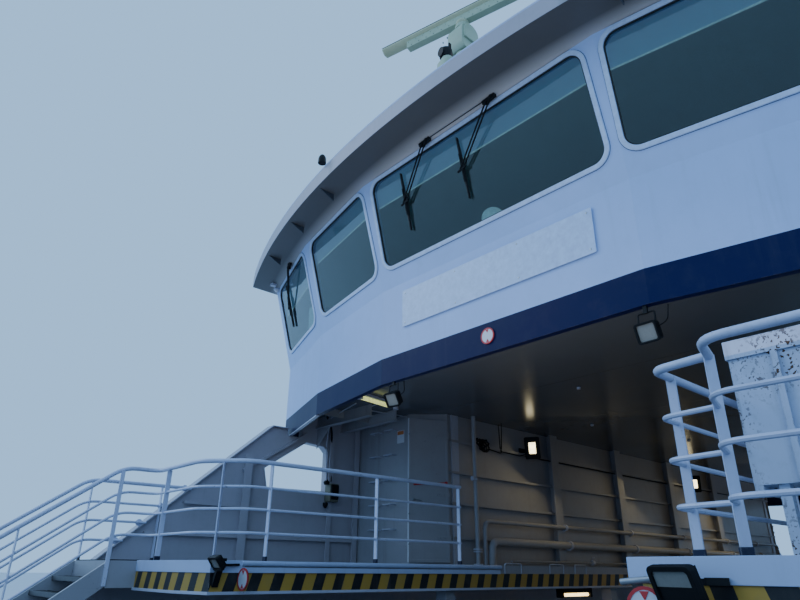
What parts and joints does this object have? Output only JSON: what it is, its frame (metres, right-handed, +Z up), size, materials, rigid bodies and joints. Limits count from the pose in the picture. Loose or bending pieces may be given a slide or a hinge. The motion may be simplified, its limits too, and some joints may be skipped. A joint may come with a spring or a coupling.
{
  "type": "double-ended car ferry, scale model 1:2",
  "caption": "Double-ended car ferry at half size: faceted bridge house over a car tunnel, side platforms with stairs, hinged ramps, steering thrusters, turning radars.",
  "frame": {"origin": "under the middle of the flat hull bottom, where the hull stands", "axes": "+X along the ship to its forward end, +Y to port, +Z up"},
  "size_m": [24.5824, 6.5, 7.6],
  "materials": {
    "hull_navy": "glossy marine enamel",
    "white_paint": "semi-gloss, faintly bluish",
    "grey_blue_paint": "semi-gloss, rubbed",
    "rail_paint": "semi-gloss",
    "tinted_glass": "green tinted, glossy",
    "dark_machinery": "matt",
    "bronze": "cast, dulled",
    "scanner_green": "satin"
  },
  "bodies": {
    "ship": {"hull": "hull_navy", "funnel_port": "hull_navy", "funnel_starboard": "hull_navy", "side_wall_port": "white_paint", "side_wall_starboard": "white_paint", "house_front_fore": "white_paint", "house_front_aft": "white_paint", "house_side_port": "white_paint", "house_side_starboard": "white_paint", "bridge_roof": "white_paint", "signal_mast": "white_paint", "raft_canister_port": "white_paint", "raft_canister_starboard": "white_paint", "locker_aft_starboard": "white_paint", "locker_fore_port": "white_paint", "platform_port": "grey_blue_paint", "platform_starboard": "grey_blue_paint", "casing_port": "grey_blue_paint", "casing_starboard": "grey_blue_paint", "stair_fore_port": "grey_blue_paint", "stair_fore_starboard": "grey_blue_paint", "stair_aft_port": "grey_blue_paint", "stair_aft_starboard": "grey_blue_paint", "bridge_deck": "grey_blue_paint", "platform_rail_fore_port": "rail_paint", "platform_rail_fore_starboard": "rail_paint", "platform_rail_aft_port": "rail_paint", "platform_rail_aft_starboard": "rail_paint", "stair_rail_fore_port": "rail_paint", "stair_rail_fore_starboard": "rail_paint", "stair_rail_aft_port": "rail_paint", "stair_rail_aft_starboard": "rail_paint", "glazing_front_fore": "tinted_glass", "glazing_front_aft": "tinted_glass", "glazing_side_port": "tinted_glass", "glazing_side_starboard": "tinted_glass", "helm_console_fore": "dark_machinery", "helm_console_aft": "dark_machinery", "bollards_fore_port": "dark_machinery", "bollards_fore_starboard": "dark_machinery", "bollards_aft_port": "dark_machinery", "bollards_aft_starboard": "dark_machinery", "radar_pedestal_fore": "scanner_green", "radar_pedestal_aft": "scanner_green"},
    "ramp_fore": {"ramp_fore": "white_paint"},
    "radar_fore": {"radar_scanner_fore": "scanner_green"},
    "thruster_fore": {"thruster_leg_fore": "dark_machinery"},
    "screw_fore": {"propeller_fore": "bronze"},
    "ramp_aft": {"ramp_aft": "white_paint"},
    "radar_aft": {"radar_scanner_aft": "scanner_green"},
    "thruster_aft": {"thruster_leg_aft": "dark_machinery"},
    "screw_aft": {"propeller_aft": "bronze"},
    "door_fore_port": {"casing_door_fore_port": "grey_blue_paint"},
    "door_fore_starboard": {"casing_door_fore_starboard": "grey_blue_paint"},
    "door_aft_port": {"casing_door_aft_port": "grey_blue_paint"},
    "door_aft_starboard": {"casing_door_aft_starboard": "grey_blue_paint"}
  },
  "joints": [
    {"name": "ramp_fore_hinge", "type": "hinge", "parent": "ship", "child": "ramp_fore", "pos_m": [11.58, 0, 1.49], "axis": [0, 1, 0], "range_deg": [0, 85]},
    {"name": "radar_fore_turn", "type": "hinge", "parent": "ship", "child": "radar_fore", "pos_m": [5.815, 0.165, 6.08], "axis": [0, 0, 1], "continuous": true},
    {"name": "thruster_fore_steer", "type": "hinge", "parent": "ship", "child": "thruster_fore", "pos_m": [9.45, 0, 0.75], "axis": [0, 0, 1], "continuous": true},
    {"name": "screw_fore_spin", "type": "hinge", "parent": "thruster_fore", "child": "screw_fore", "pos_m": [9.81, 0, 0.4], "axis": [1, 0, 0], "continuous": true},
    {"name": "ramp_aft_hinge", "type": "hinge", "parent": "ship", "child": "ramp_aft", "pos_m": [-11.58, 0, 1.49], "axis": [0, -1, 0], "range_deg": [0, 85]},
    {"name": "radar_aft_turn", "type": "hinge", "parent": "ship", "child": "radar_aft", "pos_m": [-5.815, -0.165, 6.08], "axis": [0, 0, 1], "continuous": true},
    {"name": "thruster_aft_steer", "type": "hinge", "parent": "ship", "child": "thruster_aft", "pos_m": [-9.45, 0, 0.75], "axis": [0, 0, 1], "continuous": true},
    {"name": "screw_aft_spin", "type": "hinge", "parent": "thruster_aft", "child": "screw_aft", "pos_m": [-9.81, 0, 0.4], "axis": [-1, 0, 0], "continuous": true},
    {"name": "casing_door_fore_port_hinge", "type": "hinge", "parent": "ship", "child": "door_fore_port", "pos_m": [3.90308, 1.89692, 2.795], "axis": [0, 0, -1], "range_deg": [0, 105]},
    {"name": "casing_door_fore_starboard_hinge", "type": "hinge", "parent": "ship", "child": "door_fore_starboard", "pos_m": [3.90308, -1.89692, 2.795], "axis": [0, 0, 1], "range_deg": [0, 105]},
    {"name": "casing_door_aft_port_hinge", "type": "hinge", "parent": "ship", "child": "door_aft_port", "pos_m": [-3.90308, 1.89692, 2.795], "axis": [0, 0, 1], "range_deg": [-22, 83]},
    {"name": "casing_door_aft_starboard_hinge", "type": "hinge", "parent": "ship", "child": "door_aft_starboard", "pos_m": [-3.90308, -1.89692, 2.795], "axis": [0, 0, -1], "range_deg": [0, 105]}
  ]
}
